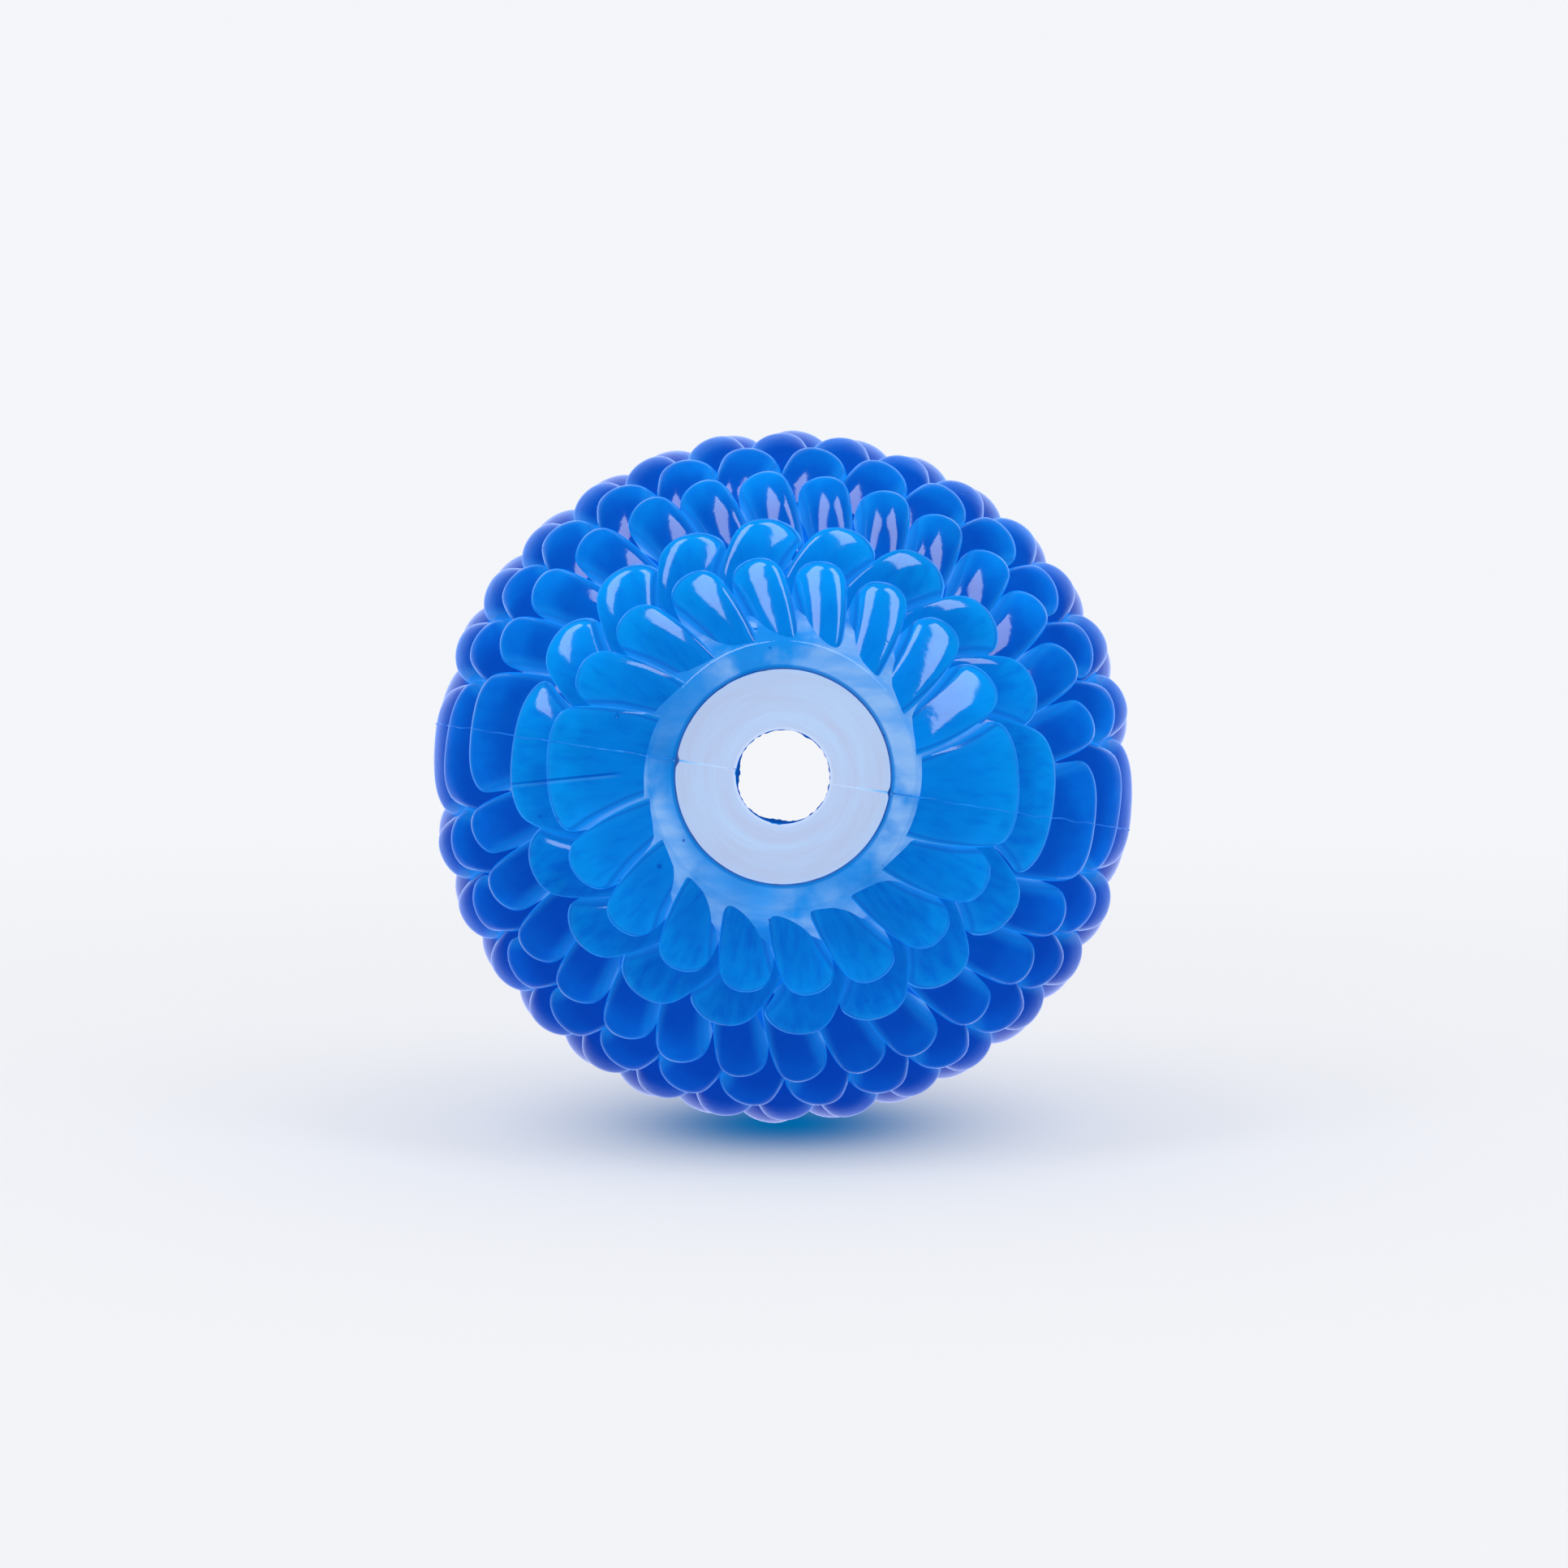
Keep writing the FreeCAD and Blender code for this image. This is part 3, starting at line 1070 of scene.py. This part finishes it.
@dataclass(frozen=True)
class MouthFlash:
    """A thin burr left round the edge of a mouth where the core pin met the mould.

    least and reach set how far it stands in over the hole, and bite how far it is sunk in the lip.
    """

    name: str
    finish: bpy.types.Material
    edge_radius: float
    station: float
    reach: float
    least: float
    burrs: tuple[Burr, ...]
    seed: int
    thickness: float = 0.14
    bite: float = 0.15
    waves: int = 45
    steps: int = 360
    around_section: int = 8

    def build(self) -> bpy.types.Object:
        """Makes the flash: a lens section carried round the edge, reaching in unevenly.

        The reach is least plus a smooth random part plus a bell curve for each burr.

        Returns:
            The flash.
        """
        angle = np.linspace(0, 360, self.steps, endpoint=False)
        ragged = np.clip(wander(angle, self.seed, self.waves), -1, 2)
        reach = self.least + self.reach * (0.5 + 0.35 * ragged)
        for burr in self.burrs:
            away = (angle - burr.place + 180) % 360 - 180
            reach = reach + burr.size * np.exp(-((away / burr.width) ** 2))
        turn = np.linspace(0, 2 * math.pi, self.around_section, endpoint=False)
        inward = (1 - np.cos(turn))[:, None] / 2
        radius = self.edge_radius + self.bite - (reach + self.bite) * inward
        station = self.station + self.thickness / 2 * np.sin(turn)[:, None] * np.ones_like(radius)
        a = np.radians(angle)
        grid = np.stack((radius * np.cos(a), station, radius * np.sin(a)), -1).transpose(1, 0, 2)
        corner = np.arange(radius.size).reshape(grid.shape[:2])
        faces = sheet_faces(np.pad(corner, ((0, 1), (0, 1)), mode="wrap"))
        # 1 at the flash's inner edge: its thinnest part, and where its painted highlight goes.
        thin = np.tile(inward.ravel(), self.steps)
        made = put_mesh(self.name, grid.reshape(-1, 3), faces, [], {"thin": thin})
        made.data.materials.append(self.finish)
        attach(made, "root")
        return made


# ---------------------------------------------------------------- camera, light and floor


@dataclass(frozen=True)
class Studio:
    """Camera, softboxes, surround and floor, in metres."""

    distance: float = 0.455
    aside: float = 0.0001
    focal: float = 105.4
    sensor: float = 36.0
    shift: float = -0.0047
    sight: float = 20.0
    box_aside: float = 0.3
    box_ahead: float = 0.25
    box_above: float = 0.6
    box_size: tuple[float, float] = (0.2, 0.56)
    box_power: float = 2.5
    backdrop: Colour = (0.905, 0.921, 0.956)
    ahead: float = 0.9
    behind_camera: float = 0.04
    floor_tilt: float = 5.0
    floor_reach: float = 0.6
    floor_points: int = 9
    paper: Colour = (0.905, 0.917, 0.95)
    # Colour of the painted shadow under the ball.
    shade: Colour = (0.0, 0.16, 0.42)
    gathered: Colour = (0.3, 0.45, 0.85)
    shade_radius: float = 0.018
    gathered_radius: float = 0.045
    fill: float = 0.82
    matt: float = 0.2

    def camera(self) -> None:
        """A long lens looking straight into the wide mouth along +Y."""
        data = bpy.data.cameras.new("camera")
        data.lens = self.focal
        data.sensor_width = self.sensor
        data.clip_end = self.sight
        data.shift_y = self.shift
        made = bpy.data.objects.new("camera", data)
        made.location = (self.aside, -self.distance, 0)
        made.rotation_euler = (math.radians(90), 0, 0)
        bpy.context.scene.collection.objects.link(made)
        bpy.context.scene.camera = made

    def softbox(self, name: str, place: Sequence[float]) -> None:
        """A rectangular white light at a place, aimed at the ball."""
        data = bpy.data.lights.new(name, "AREA")
        data.shape = "RECTANGLE"
        data.size, data.size_y = self.box_size
        data.energy = self.box_power
        made = bpy.data.objects.new(name, data)
        made.location = place
        made.rotation_euler = Vector(place).to_track_quat("Z", "Y").to_euler()
        bpy.context.scene.collection.objects.link(made)

    def lights(self) -> None:
        """Two softboxes overhead, to the left and the right of the camera."""
        self.softbox("softbox_left", (-self.box_aside, -self.box_ahead, self.box_above))
        self.softbox("softbox_right", (self.box_aside, -self.box_ahead, self.box_above))

    def surround(self) -> None:
        """A pale surround: even to the eye, but dimmer as a light on the camera's side."""
        world = bpy.data.worlds.new("surround")
        world.use_nodes = True
        shader = Shader(world.node_tree)
        ways = shader.axes(shader.node("ShaderNodeTexCoord").outputs["Generated"])
        light = ways[1].smooth(0.45, 1.0) * (self.ahead - self.behind_camera) + self.behind_camera
        straight = Signal(shader, shader.node("ShaderNodeLightPath").outputs["Is Camera Ray"])
        strength = straight + (1 - straight) * light
        inputs = {"Color": (*self.backdrop, 1.0), "Strength": strength}
        sky = shader.node("ShaderNodeBackground", None, inputs)
        shader.node("ShaderNodeOutputWorld", None, {0: sky.outputs[0]})
        bpy.context.scene.world = world
        bpy.context.scene.view_settings.view_transform = "Standard"

    def floor(self, lowest: Sequence[bpy.types.Object]) -> None:
        """A pale sheet under the ball, rising gently behind it and fading into the surround.

        Args:
            lowest: The pieces that the sheet has to touch from below.
        """
        tilt = math.radians(self.floor_tilt)
        up = np.array([0, -math.sin(tilt), math.cos(tilt)])
        heights = []
        for piece in lowest:
            corners = np.empty(len(piece.data.vertices) * 3)
            piece.data.vertices.foreach_get("co", corners)
            heights.append((corners.reshape(-1, 3) @ up).min())
        ways = np.linspace(-self.floor_reach, self.floor_reach, self.floor_points)
        x, y = np.meshgrid(ways, ways, indexing="ij")
        z = (min(heights) - y * up[1]) / up[2]
        points = np.stack((x, y, z), -1).reshape(-1, 3) / MM
        faces = sheet_faces(np.arange(x.size).reshape(x.shape))[:, ::-1]
        made = put_mesh("floor", points, faces, [], {})
        made.data.materials.append(self.floor_finish())
        made.visible_glossy = False

    def floor_finish(self) -> bpy.types.Material:
        """White paper with a painted shadow under the ball, tinted by the light that the ball gathers, clear
        far off and from below.
        """
        made, shader = new_material("paper")
        x, y, _ = shader.axes(shader.place())
        spread = (x * x + y * y) ** 0.5
        # Painted shadow under the ball, darkest at the contact.
        under = 1 / (((x * x * 1.44 + y * y) ** 0.5 * (1 / self.shade_radius)) ** 3 + 1)
        tooth = shader.noise(900, 3) * 0.012 + 0.985
        about = 1 / ((spread * (1 / self.gathered_radius)) ** 4 + 1)
        pale = shader.mix(about * 0.1, self.paper, self.gathered)
        colour = shader.scaled(shader.mix(under, pale, self.shade), tooth)
        matt = shader.node("ShaderNodeBsdfDiffuse", None, {"Color": shader.scaled(colour, self.matt)})
        lit = shader.node("ShaderNodeEmission", None, {"Color": colour, "Strength": self.fill})
        body = shader.node("ShaderNodeAddShader", None, {0: matt.outputs[0], 1: lit.outputs[0]})
        clear = shader.node("ShaderNodeBsdfTransparent")
        below = Signal(shader, shader.node("ShaderNodeNewGeometry").outputs["Backfacing"])
        gone = shader.math("MAXIMUM", spread.smooth(0.07, 0.3), below)
        inputs = {0: gone, 1: body.outputs[0], 2: clear.outputs[0]}
        both = shader.node("ShaderNodeMixShader", None, inputs)
        shader.node("ShaderNodeOutputMaterial", None, {0: both.outputs[0]})
        return made


def main() -> None:
    """Builds the ball and its studio, and reports each piece."""
    logging.basicConfig(level=logging.INFO, format="%(message)s")
    sizes = BallSizes()
    scale_finish, rim_finish = ScaleRubber().material(), RimRubber().material()
    bore_finish, seam_finish = BoreRubber().material(), FlashRubber().material()
    # The burr's paleness is mostly a painted highlight on its trimmed edge.
    burr_finish = FlashRubber(name="burr_rubber", pale=(0.42, 0.56, 0.88), paleness=0.9).material()
    wide_burrs = Burr(171.3, 2.5, 0.25), Burr(351.3, 2.0, 0.2), Burr(100, 3, 0.08)
    narrow_burrs = Burr(176, 16, 0.35), Burr(262, 20, 0.4), Burr(60, 8, 0.15)
    pieces = []
    for half in Half:
        pieces += HalfMoulding(half, scale_finish, rim_finish, bore_finish, sizes).build()
    for half in Half:
        pieces.append(Seam(seam_finish, sizes).bead(half))
    wide_flash = MouthFlash(
        "wide_mouth_flash", burr_finish, edge_radius=sizes.wide_mouth + 0.08, station=sizes.front + 0.1,
        reach=0.06, least=0.03, burrs=wide_burrs, seed=21,
    )
    narrow_flash = MouthFlash(
        "narrow_mouth_flash", seam_finish, edge_radius=sizes.narrow_mouth, station=sizes.back - 0.5,
        reach=0.1, least=0.0, burrs=narrow_burrs, seed=22,
    )
    pieces += [wide_flash.build(), narrow_flash.build()]
    for piece in pieces:
        LOG.info("%s %d faces", piece.name, len(piece.data.polygons))
    studio = Studio()
    studio.camera()
    studio.lights()
    studio.surround()
    studio.floor(pieces)


if __name__ == "__main__":
    main()
